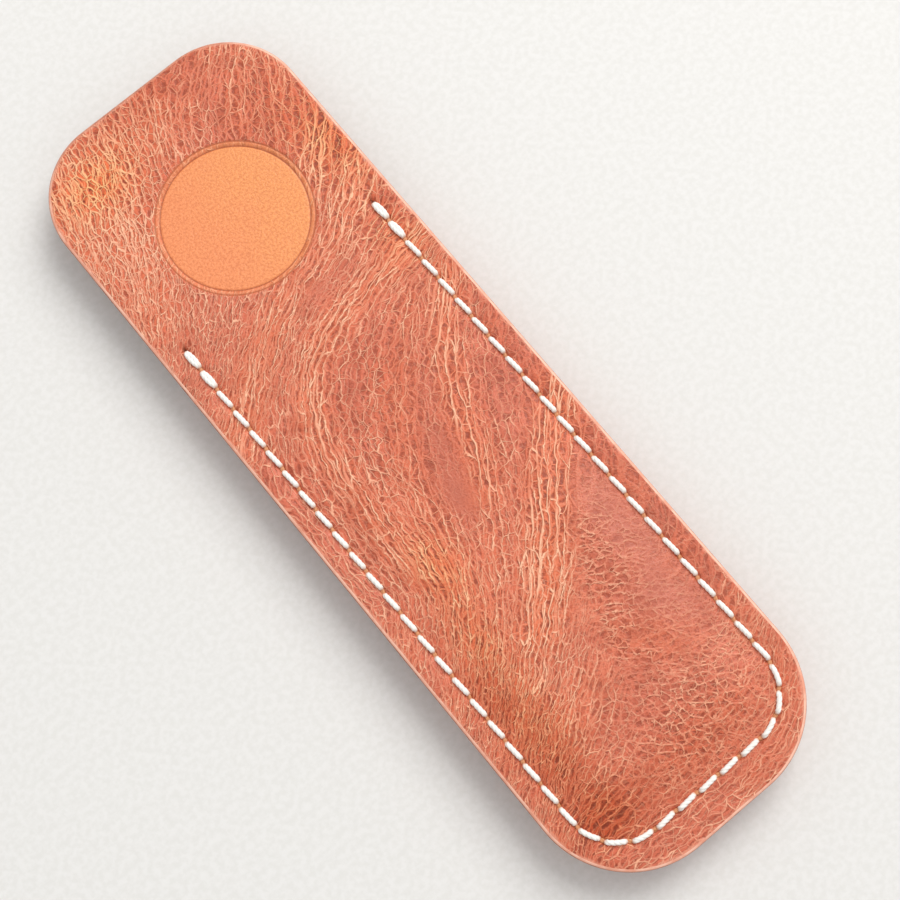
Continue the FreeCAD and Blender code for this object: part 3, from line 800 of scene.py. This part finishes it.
class Finish:
    """One material and short calls that add nodes to it. Each call gives back an output socket."""

    def __init__(self, name):
        self.material = bpy.data.materials.new(name)
        self.material.use_nodes = True
        self.tree = self.material.node_tree
        self.shader = self.tree.nodes["Principled BSDF"]

    def node(self, kind, sockets, **settings):
        made = self.tree.nodes.new(kind)
        for key, value in settings.items():
            setattr(made, key, value)
        for key, value in sockets.items():
            self.fill(made.inputs[key], value)
        return made

    def fill(self, socket, value):
        if isinstance(value, bpy.types.NodeSocket):
            self.tree.links.new(value, socket)
        else:
            socket.default_value = value

    def set(self, **sockets):
        for key, value in sockets.items():
            self.fill(self.shader.inputs[key.replace("_", " ")], value)

    def place(self):
        return self.node("ShaderNodeTexCoord", {}).outputs["Object"]

    def axes(self, place):
        return self.node("ShaderNodeSeparateXYZ", {0: place}).outputs

    def stored(self, name):
        return self.node("ShaderNodeAttribute", {}, attribute_name=name).outputs["Fac"]

    def calc(self, operation, first, second=0.0, third=0.0, clamp=False):
        sockets = {0: first, 1: second, 2: third}
        return self.node("ShaderNodeMath", sockets, operation=operation, use_clamp=clamp).outputs[0]

    def chain(self, operation, values, clamp=False):
        """One operation carried on through all the values."""
        result, *others = values
        for other in others:
            result = self.calc(operation, result, other, clamp=clamp)
        return result

    def times(self, *values, clamp=False):
        return self.chain("MULTIPLY", values, clamp)

    def highest(self, *values):
        return self.chain("MAXIMUM", values)

    def lowest(self, *values):
        return self.chain("MINIMUM", values)

    def plus(self, base, value, factor=1.0, clamp=False):
        """Base plus a value times a factor."""
        return self.calc("MULTIPLY_ADD", value, factor, base, clamp=clamp)

    def less(self, first, second):
        return self.calc("SUBTRACT", first, second)

    def shared(self, value, parts):
        return self.calc("DIVIDE", value, parts)

    def apart(self, first, second):
        """Distance between two values."""
        return self.calc("ABSOLUTE", self.less(first, second))

    def vector(self, x, y, z=0.0):
        return self.node("ShaderNodeCombineXYZ", {0: x, 1: y, 2: z}).outputs[0]

    def step(self, value, low, high, from_value=0.0, to_value=1.0):
        sockets = {0: value, 1: low, 2: high, 3: from_value, 4: to_value}
        return self.node("ShaderNodeMapRange", sockets, interpolation_type="SMOOTHSTEP").outputs[0]

    def swing(self, noise, reach):
        """Noise spread out to run from minus the reach to the reach."""
        return self.step(noise, 0.2, 0.8, -reach, reach)

    def noise(self, place, scale, detail=2.0, roughness=0.5):
        sockets = {"Vector": place, "Scale": scale, "Detail": detail, "Roughness": roughness}
        return self.node("ShaderNodeTexNoise", sockets).outputs["Fac"]

    def cracks(self, x, y):
        """Distance to the nearest border between grain cells, in cells."""
        sockets = {"Vector": self.vector(x, y), "Scale": 1.0}
        made = self.node("ShaderNodeTexVoronoi", sockets, feature="DISTANCE_TO_EDGE", voronoi_dimensions="2D")
        return made.outputs["Distance"]

    def mix(self, share, first, second):
        return self.node("ShaderNodeMix", {0: share, 6: first, 7: second}, data_type="RGBA").outputs[2]

    def bump(self, height, distance, strength):
        sockets = {"Height": height, "Distance": distance, "Strength": strength}
        return self.node("ShaderNodeBump", sockets).outputs["Normal"]


GRAIN_BASE = srgb(221, 114, 84)
GRAIN_CALM = srgb(188, 102, 80)
GRAIN_WARM = srgb(240, 115, 62)
GRAIN_DEEP = srgb(192, 72, 26)
GRAIN_VEIN = srgb(255, 192, 156)
WARM_VEIN = srgb(255, 190, 130)
DEEP_VEIN = srgb(248, 150, 96)
GRAIN_DARK = srgb(152, 62, 36)
DEEP_DARK = srgb(132, 44, 8)
ROUNDEL_TAN = srgb(246, 151, 98)
ROUNDEL_GOLD = srgb(246, 159, 96)
ROUNDEL_BROWN = srgb(190, 96, 52)
ROUNDEL_LINE = srgb(164, 78, 42)
FLESH_TAN = srgb(186, 118, 84)
FLESH_BROWN = srgb(160, 96, 66)
FLESH_PALE = srgb(208, 148, 112)
EDGE_TAN = srgb(206, 128, 98)
EDGE_BROWN = srgb(150, 78, 54)
EDGE_WEAR_AND_HIGHLIGHT = srgb(250, 196, 172)
EDGE_SALMON = srgb(234, 158, 130)
HOLE_SHADE_BROWN = srgb(120, 52, 18)
THREAD_WHITE = srgb(255, 254, 250)
THREAD_CREAM = srgb(246, 242, 232)
THREAD_DUST = srgb(226, 204, 180)
THREAD_STAIN_AND_SHADE = srgb(206, 126, 56)
TABLE_PALE = srgb(232, 231, 229)
TABLE_SPECK = srgb(226, 225, 222)


def vein_distance(finish, across, along, width, length, shift):
    """Distance in millimetres to the nearest crack of a network with cells of one width and length.

    The cells' borders come from a cell pattern on across / width and along / length. The slope of the distance
    along the cells, from two readings a small step apart, tells which way the crack lies, and that turns the
    distance in cells into one in millimetres that is the same in every direction."""
    step = 0.02
    cell_x = finish.plus(shift, across, 1 / width)
    cell_y = finish.plus(shift, along, 1 / length)
    here = finish.cracks(cell_x, cell_y)
    ahead = finish.cracks(cell_x, finish.plus(cell_y, step))
    slope = finish.shared(finish.less(ahead, here), step)
    squared = finish.lowest(finish.times(slope, slope), 1.0)
    left = finish.plus(1.0, squared, (width / length) ** 2 - 1)
    return finish.shared(finish.times(here, width), finish.calc("SQRT", left))


def fold_lines(finish, across, along):
    """Strength of, and distance in millimetres from, the long folds that lie side by side in a bundle.

    The folds lie where across, in fold spacings and with a slow drift, is a whole number and a half. Each has
    a strength of its own, read from a pattern by its number, that comes and goes along its length."""
    drift = finish.noise(finish.vector(finish.times(across, 0.3), finish.times(along, 0.06)), 1.0)
    count = finish.plus(finish.swing(drift, 0.28), across, 1 / FOLD_GAP)
    number = finish.times(finish.calc("FLOOR", count), 3.7)
    strength = finish.noise(finish.vector(number, finish.times(along, 0.09)), 1.0)
    from_fold = finish.apart(finish.calc("FRACT", count), 0.5)
    return finish.step(strength, 0.36, 0.58), finish.times(from_fold, FOLD_GAP)


def open_veins(finish, place, wobble):
    """Distances in millimetres from the thin veins that lie off the bundles: those that run out sideways, in a
    network turned by one angle, and those that close into small round cells."""
    x, y = (finish.times(axis, 1 / MM) for axis in finish.axes(place)[:2])
    cosine = math.cos(math.radians(SWEPT_TURN))
    sine = math.sin(math.radians(SWEPT_TURN))
    along = finish.plus(finish.times(y, sine), x, cosine)
    across = finish.plus(finish.plus(wobble, y, cosine), x, -sine)
    cell_x = finish.shared(finish.plus(x, wobble), ROUND_CELL)
    cell_y = finish.shared(finish.less(y, wobble), ROUND_CELL)
    swept = vein_distance(finish, across, along, *SWEPT_CELLS)
    return swept, finish.times(finish.cracks(cell_x, cell_y), ROUND_CELL)


def grain_lines(finish, place, lively, alive):
    """Strength of the pale veins, of the painted shade in the hollows between them, and of the darker specks
    of painted shade in the hollows.

    Every network has a distance and a force. Its veins fade out over a width from their middle, and the
    strongest of all networks shows."""
    crease = finish.stored("crease")
    slope = finish.stored("slope")
    kink = finish.noise(place, 900.0, 4.0, 0.6)
    sway = finish.noise(place, 230.0)
    slow = finish.noise(place, 150.0, 3.0)
    speck = finish.noise(place, 1100.0, 3.0, 0.6)
    smooth = finish.plus(finish.stored("across"), finish.swing(sway, 0.38), slope)
    across = finish.plus(smooth, finish.swing(kink, 0.16), slope)
    along = finish.plus(finish.stored("along"), finish.swing(slow, 0.8))

    # How much of the veins shows: less where the grain is drawn out, in breaks, and between strands
    even = finish.times(finish.step(slope, 1.3, 2.2, 1.0, 0.75), finish.step(slope, 0.42, 0.75, 0.3, 1.0))
    whole = finish.plus(finish.step(finish.noise(place, 330.0, 3.0), 0.33, 0.6, 0.55, 1.0), lively, 0.4)
    broken = finish.times(alive, finish.lowest(whole, 1.0))
    strand_place = finish.vector(finish.times(across, 0.9), finish.times(along, 0.11))
    strand = finish.step(finish.noise(strand_place, 1.0, 1.0), 0.35, 0.6, 0.4, 1.0)
    strand = finish.lowest(finish.plus(strand, lively, 0.4), 1.0)
    shown = finish.times(broken, strand, even, finish.step(speck, 0.34, 0.58, 0.6, 1.12))
    frayed = finish.times(finish.step(speck, 0.38, 0.6, 0.3, 1.0), broken)

    # Bundles along the creases, and the open patches beside them
    near = finish.plus(crease, finish.swing(sway, 0.12))
    bundle = finish.step(near, 0.1, 0.42)
    packed = finish.step(near, 0.5, 0.9)
    beside = finish.step(near, 0.6, 0.25)
    swept = finish.times(finish.stored("swept"), beside)
    rounded = finish.times(finish.stored("round"), beside)
    closed = finish.plus(finish.plus(1.0, rounded, -0.45), swept, -0.9, clamp=True)
    shown = finish.times(shown, closed)

    # Force of each network
    fold, fold_gap = fold_lines(finish, smooth, along)
    fold_force = finish.times(finish.step(near, 0.4, 0.9), fold, alive, even,
                              finish.step(speck, 0.34, 0.58, 0.85, 1.1))
    long_force = finish.times(finish.plus(0.78, crease, 0.35), shown, bundle)
    cell_force = finish.plus(finish.plus(finish.plus(0.78, bundle, -0.25), lively, 0.3), packed, -0.25)
    cell_force = finish.times(cell_force, shown)
    hair_force = finish.plus(finish.plus(0.3, bundle, -0.15), lively, 0.5)
    hair_force = finish.times(hair_force, broken, closed)
    swept_force = finish.times(swept, 0.75, frayed)
    round_force = finish.times(finish.highest(finish.times(rounded, 0.75), finish.times(swept, 0.4)), frayed)

    # Distances from the veins of each network
    spread = finish.lowest(slope, 1.0)
    gaps = [fold_gap] + [vein_distance(finish, across, along, *cells)
                         for cells in (LONG_CELLS, SMALL_CELLS, HAIR_CELLS)]
    fold_gap, long_gap, cell_gap, hair_gap = (finish.shared(gap, spread) for gap in gaps)
    wobble = finish.plus(finish.swing(sway, 0.5), finish.swing(kink, 0.32))
    swept_gap, round_gap = open_veins(finish, place, wobble)
    veins = [
        (fold_gap, 0.26, 0.05, fold_force),
        (long_gap, finish.plus(0.09, long_force, 0.16), 0.05, long_force),
        (cell_gap, finish.plus(0.09, cell_force, 0.14), 0.05, cell_force),
        (hair_gap, 0.15, 0.03, hair_force),
        (swept_gap, 0.2, 0.04, swept_force),
        (round_gap, 0.2, 0.04, round_force),
    ]
    lines = finish.highest(*(finish.times(finish.step(gap, width, core), force, clamp=True)
                             for gap, width, core, force in veins))

    # Painted shade in the hollows between the veins, with darker specks of painted shade
    hollow_shade = finish.step(finish.lowest(fold_gap, long_gap, cell_gap), 0.12, 0.32)
    open_hollow = finish.step(finish.lowest(swept_gap, round_gap), 0.1, 0.3)
    hollow_shade = finish.plus(hollow_shade, finish.highest(swept, rounded), finish.less(open_hollow, hollow_shade))
    shade_speck = finish.plus(finish.step(speck, 0.4, 0.62, 0.2, 0.8), fold_force, 0.2)
    return lines, finish.times(hollow_shade, alive), finish.plus(shade_speck, lively, -0.15)


def grain_leather():
    """Crackled pull-up leather: pale veins along the creases, calm dark patches, warm stretched ones, pores,
    painted shade in the hollows between the veins, and on the tab a smooth pressed roundel."""
    finish = Finish("crackled_grain")
    place = finish.place()
    calm, warm, deep = (finish.stored(name) for name in ("calm", "warm", "deep"))
    lively = finish.times(calm, -1.0, clamp=True)
    calm = finish.highest(calm, 0.0)
    lines, hollow_shade, shade_speck = grain_lines(finish, place, lively, finish.step(calm, 0.15, 0.9, 1.0, 0.12))
    mottle = finish.noise(place, 260.0, 4.0, 0.65)
    pores = finish.noise(place, 2600.0, 2.0, 0.6)
    drawn = finish.highest(warm, deep)
    # Painted shade: the hollows between the veins are darkened, in specks, more where the leather is warm or
    # deep
    dark = finish.times(hollow_shade, finish.plus(shade_speck, drawn, 0.4), clamp=True)
    shade = finish.mix(drawn, GRAIN_DARK, DEEP_DARK)
    vein = finish.mix(finish.times(deep, 0.8), finish.mix(warm, GRAIN_VEIN, WARM_VEIN), DEEP_VEIN)
    roundel_share, roundel_colour, roundel_height = roundel_finish(finish, place)
    from_rim = finish.plus(finish.stored("rim"), finish.step(mottle, 0.3, 0.7, -0.25, 0.35))

    # Coats of colour, each laid over the last by its share
    skin = GRAIN_BASE
    coats = [
        (finish.step(mottle, 0.3, 0.75, 0.0, 0.45), GRAIN_DARK),
        (finish.times(calm, 0.85), GRAIN_CALM),
        (finish.times(finish.stored("crease"), 0.55), GRAIN_WARM),
        (finish.plus(finish.times(warm, 0.8), lively, 0.3), GRAIN_WARM),
        # Browner patches, partly painted shade on the -X side of the closed end
        (finish.times(deep, 0.9), GRAIN_DEEP),
        # Painted shade in the hollows between the veins; the next coat gives the pores the same dark colour as
        # grain
        (dark, shade),
        (finish.step(pores, 0.45, 0.75, 0.0, 0.5), shade),
        (lines, vein),
        (roundel_share, roundel_colour),
        # Painted shade: the leather is darkened brown in and round each stitch hole
        (finish.step(finish.stored("hole"), 0.3, 0.85, 0.0, 0.92), HOLE_SHADE_BROWN),
        # Partly wear, partly painted highlight: a pale salmon band along the rim of the grain face
        (finish.step(from_rim, 0.9, 0.45, 0.0, 0.7), EDGE_SALMON),
    ]
    for share, colour in coats:
        skin = finish.mix(share, skin, colour)

    relief = finish.plus(finish.plus(finish.times(pores, 0.3), lines, 0.55), dark, -0.35)
    relief = finish.plus(roundel_height, relief, finish.less(1.0, roundel_share))
    rough = finish.plus(finish.step(mottle, 0.3, 0.7, 0.36, 0.48), lines, 0.18)
    finish.set(Base_Color=skin, Roughness=rough, Normal=finish.bump(relief, 0.0003, 0.9))
    finish.set(Specular_IOR_Level=0.46)
    return finish.material


def roundel_finish(finish, place):
    """Share, colour and relief of the roundel: a smooth tan disc, finely grained, with two dark ring lines,
    which are painted shade in its two grooves.
    """
    x, y, _ = finish.axes(place)
    from_x = finish.less(x, ROUNDEL_X * MM)
    from_y = finish.less(y, ROUNDEL_Y * MM)
    flat = {0: finish.vector(from_x, from_y)}
    away = finish.node("ShaderNodeVectorMath", flat, operation="LENGTH").outputs["Value"]
    inside = [finish.step(away, (radius + 0.1) * MM, (radius - 0.1) * MM, 0.0, most)
              for radius, most in ((ROUNDEL_RADIUS, 0.5), (DISC_RADIUS, 1.0))]
    share = finish.highest(*inside)
    gaps = [finish.apart(away, radius * MM) for radius in (ROUNDEL_RADIUS, DISC_RADIUS)]
    # Painted shade: the two ring grooves are drawn as dark lines
    rings = finish.plus(*(finish.step(gap, 0.19 * MM, 0.04 * MM) for gap in gaps))
    line = finish.times(rings, 0.8)
    grains = finish.noise(place, 2300.0, 2.0, 0.7)
    tone = finish.noise(place, 160.0)
    golden = finish.step(finish.plus(from_x, tone, 0.012), -0.004, 0.016)
    colour = finish.mix(golden, ROUNDEL_TAN, ROUNDEL_GOLD)
    colour = finish.mix(finish.step(grains, 0.62, 0.34, 0.0, 0.42), colour, ROUNDEL_BROWN)
    colour = finish.mix(line, colour, ROUNDEL_LINE)
    return finish.highest(share, line), colour, finish.times(grains, 0.45, share)


def flesh_leather():
    """Flesh side: short matted fibres, duller and paler than the grain, with a nap that takes the light."""
    finish = Finish("flesh_suede")
    place = finish.place()
    tuft = finish.noise(place, 1400.0, 4.0, 0.7)
    cloud = finish.noise(place, 120.0, 3.0, 0.6)
    colour = finish.mix(finish.step(cloud, 0.3, 0.7), FLESH_TAN, FLESH_BROWN)
    colour = finish.mix(finish.step(tuft, 0.45, 0.7, 0.0, 0.5), colour, FLESH_PALE)
    finish.set(Base_Color=colour, Roughness=0.92, Normal=finish.bump(tuft, 0.0003, 0.7))
    finish.set(Sheen_Weight=0.35, Sheen_Roughness=0.5)
    return finish.material


def cut_edge():
    """Cut and rubbed edge: brown fibres in thin layers across the thickness, pale at the arrises, partly from
    wear and partly a painted highlight.
    """
    finish = Finish("rubbed_edge")
    place = finish.place()
    x, y, z = finish.axes(place)
    fibre = finish.noise(finish.vector(finish.times(x, 0.16), finish.times(y, 0.16), z), 4600.0, 4.0, 0.65)
    cloud = finish.noise(place, 420.0, 3.0, 0.6)
    from_middle = finish.apart(finish.stored("edge_depth"), 0.5)
    # Partly wear, partly painted highlight: the arrises are paler than the wall, less so at the tab end
    wear_and_highlight = finish.times(finish.step(finish.plus(from_middle, cloud, 0.16), 0.4, 0.52),
                        finish.step(y, TAB_Y * MM, (TAB_Y - 8) * MM, 0.25, 1.0))
    wall = finish.mix(finish.step(fibre, 0.32, 0.68), EDGE_TAN, EDGE_BROWN)
    arris = finish.mix(finish.step(cloud, 0.35, 0.7), EDGE_WEAR_AND_HIGHLIGHT, EDGE_SALMON)
    finish.set(Base_Color=finish.mix(wear_and_highlight, wall, arris), Roughness=0.6)
    finish.set(Normal=finish.bump(fibre, 0.00012, 0.6))
    return finish.material


def waxed_thread():
    """White waxed thread: fine fibres that follow the ply, a little dust, and leather colour in the holes,
    partly stain and partly painted shade.
    """
    finish = Finish("waxed_white_thread")
    along = finish.stored("thread_length")
    slant = finish.plus(finish.times(finish.stored("ply_round"), 9.0), along, 1.5)
    fibre = finish.noise(finish.vector(finish.times(along, 1.3), slant), 2.2, 3.0, 0.6)
    dust = finish.noise(finish.place(), 700.0)
    colour = finish.mix(finish.step(fibre, 0.3, 0.7), THREAD_WHITE, THREAD_CREAM)
    colour = finish.mix(finish.step(dust, 0.62, 0.8, 0.0, 0.2), colour, THREAD_DUST)
    # Partly stain, partly painted shade: golden brown where the thread is sunk into the holes
    colour = finish.mix(finish.times(finish.stored("sunk"), 0.9), colour, THREAD_STAIN_AND_SHADE)
    finish.set(Base_Color=colour, Roughness=0.5, Normal=finish.bump(fibre, 0.00005, 0.6))
    finish.set(Sheen_Weight=0.2)
    return finish.material


def dress(piece, node, materials):
    """Give a finished piece its materials, hide the CAD node that it stands for, and attach it to its body."""
    for material in materials:
        piece.data.materials.append(material)
    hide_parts(node)
    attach(piece, "root")


# Table, light and camera. The lamp's place and size are in metres

TABLE_HALF = 900.0
LAMP_PLACE = Vector((0.85, 0.32, 1.01))
LAMP_SIZE = 0.92
LAMP_POWER = 13.7
WORLD_LIGHT = 0.65
CAMERA_PLACE = Vector((-23.0, -49.2, 270.4)) * MM
CAMERA_TARGET = Vector((2.97, -5.15, BACK_FACE)) * MM
CAMERA_TURN = -39.6
CAMERA_LENS = 64.0


def pale_table():
    """Plain pale table top under the pocket."""
    corners = np.array([[-1, -1, 0], [1, -1, 0], [1, 1, 0], [-1, 1, 0]])
    table = mesh_piece("pale_table", TABLE_HALF * corners, np.array([[0, 1, 2, 3]]))
    finish = Finish("pale_table_top")
    speck = finish.noise(finish.place(), 900.0)
    finish.set(Base_Color=finish.mix(finish.step(speck, 0.3, 0.7), TABLE_PALE, TABLE_SPECK), Roughness=0.8)
    table.data.materials.append(finish.material)


def studio_light():
    """Even white surroundings and one large soft lamp from the right, which faces the middle of the sleeve."""
    world = bpy.data.worlds.new("studio")
    world.use_nodes = True
    sky = world.node_tree.nodes["Background"]
    sky.inputs["Color"].default_value = (1.0, 1.0, 1.0, 1.0)
    sky.inputs["Strength"].default_value = WORLD_LIGHT
    bpy.context.scene.world = world
    lamp = bpy.data.lights.new("window_lamp", "AREA")
    lamp.shape = "SQUARE"
    lamp.size = LAMP_SIZE
    lamp.energy = LAMP_POWER
    lamp.color = (1.0, 0.98, 0.95)
    holder = bpy.data.objects.new("window_lamp", lamp)
    holder.location = LAMP_PLACE
    holder.rotation_mode = "QUATERNION"
    holder.rotation_quaternion = (-LAMP_PLACE).to_track_quat("-Z", "Y")
    bpy.context.scene.collection.objects.link(holder)


def photo_camera():
    """Camera that looks down on the sleeve, turned so that the tab points to the upper left."""
    data = bpy.data.cameras.new("photo_camera")
    data.sensor_width = 36.0
    data.lens = CAMERA_LENS
    data.clip_start = 0.01
    camera = bpy.data.objects.new("photo_camera", data)
    turn = math.radians(CAMERA_TURN)
    picture_up = Vector((-math.sin(turn), math.cos(turn), 0.0))
    back = (CAMERA_PLACE - CAMERA_TARGET).normalized()
    right = picture_up.cross(back).normalized()
    up = back.cross(right)
    camera.matrix_world = Matrix.Translation(CAMERA_PLACE) @ Matrix((right, up, back)).transposed().to_4x4()
    bpy.context.scene.collection.objects.link(camera)
    bpy.context.scene.camera = camera


def main():
    """Dress the four CAD nodes, then set the table, light and camera."""
    leather, flesh, edge, thread = grain_leather(), flesh_leather(), cut_edge(), waxed_thread()
    grain = grain_field()
    dress(make_back_panel(grain), "back_panel", [leather, edge, flesh])
    dress(make_pocket_panel(grain), "pocket_panel", [flesh, edge, leather])
    dress(make_needle_thread(), "needle_thread", [thread])
    dress(make_bobbin_thread(), "bobbin_thread", [thread])
    pale_table()
    studio_light()
    photo_camera()
    bpy.context.scene.view_settings.view_transform = "Standard"


main()
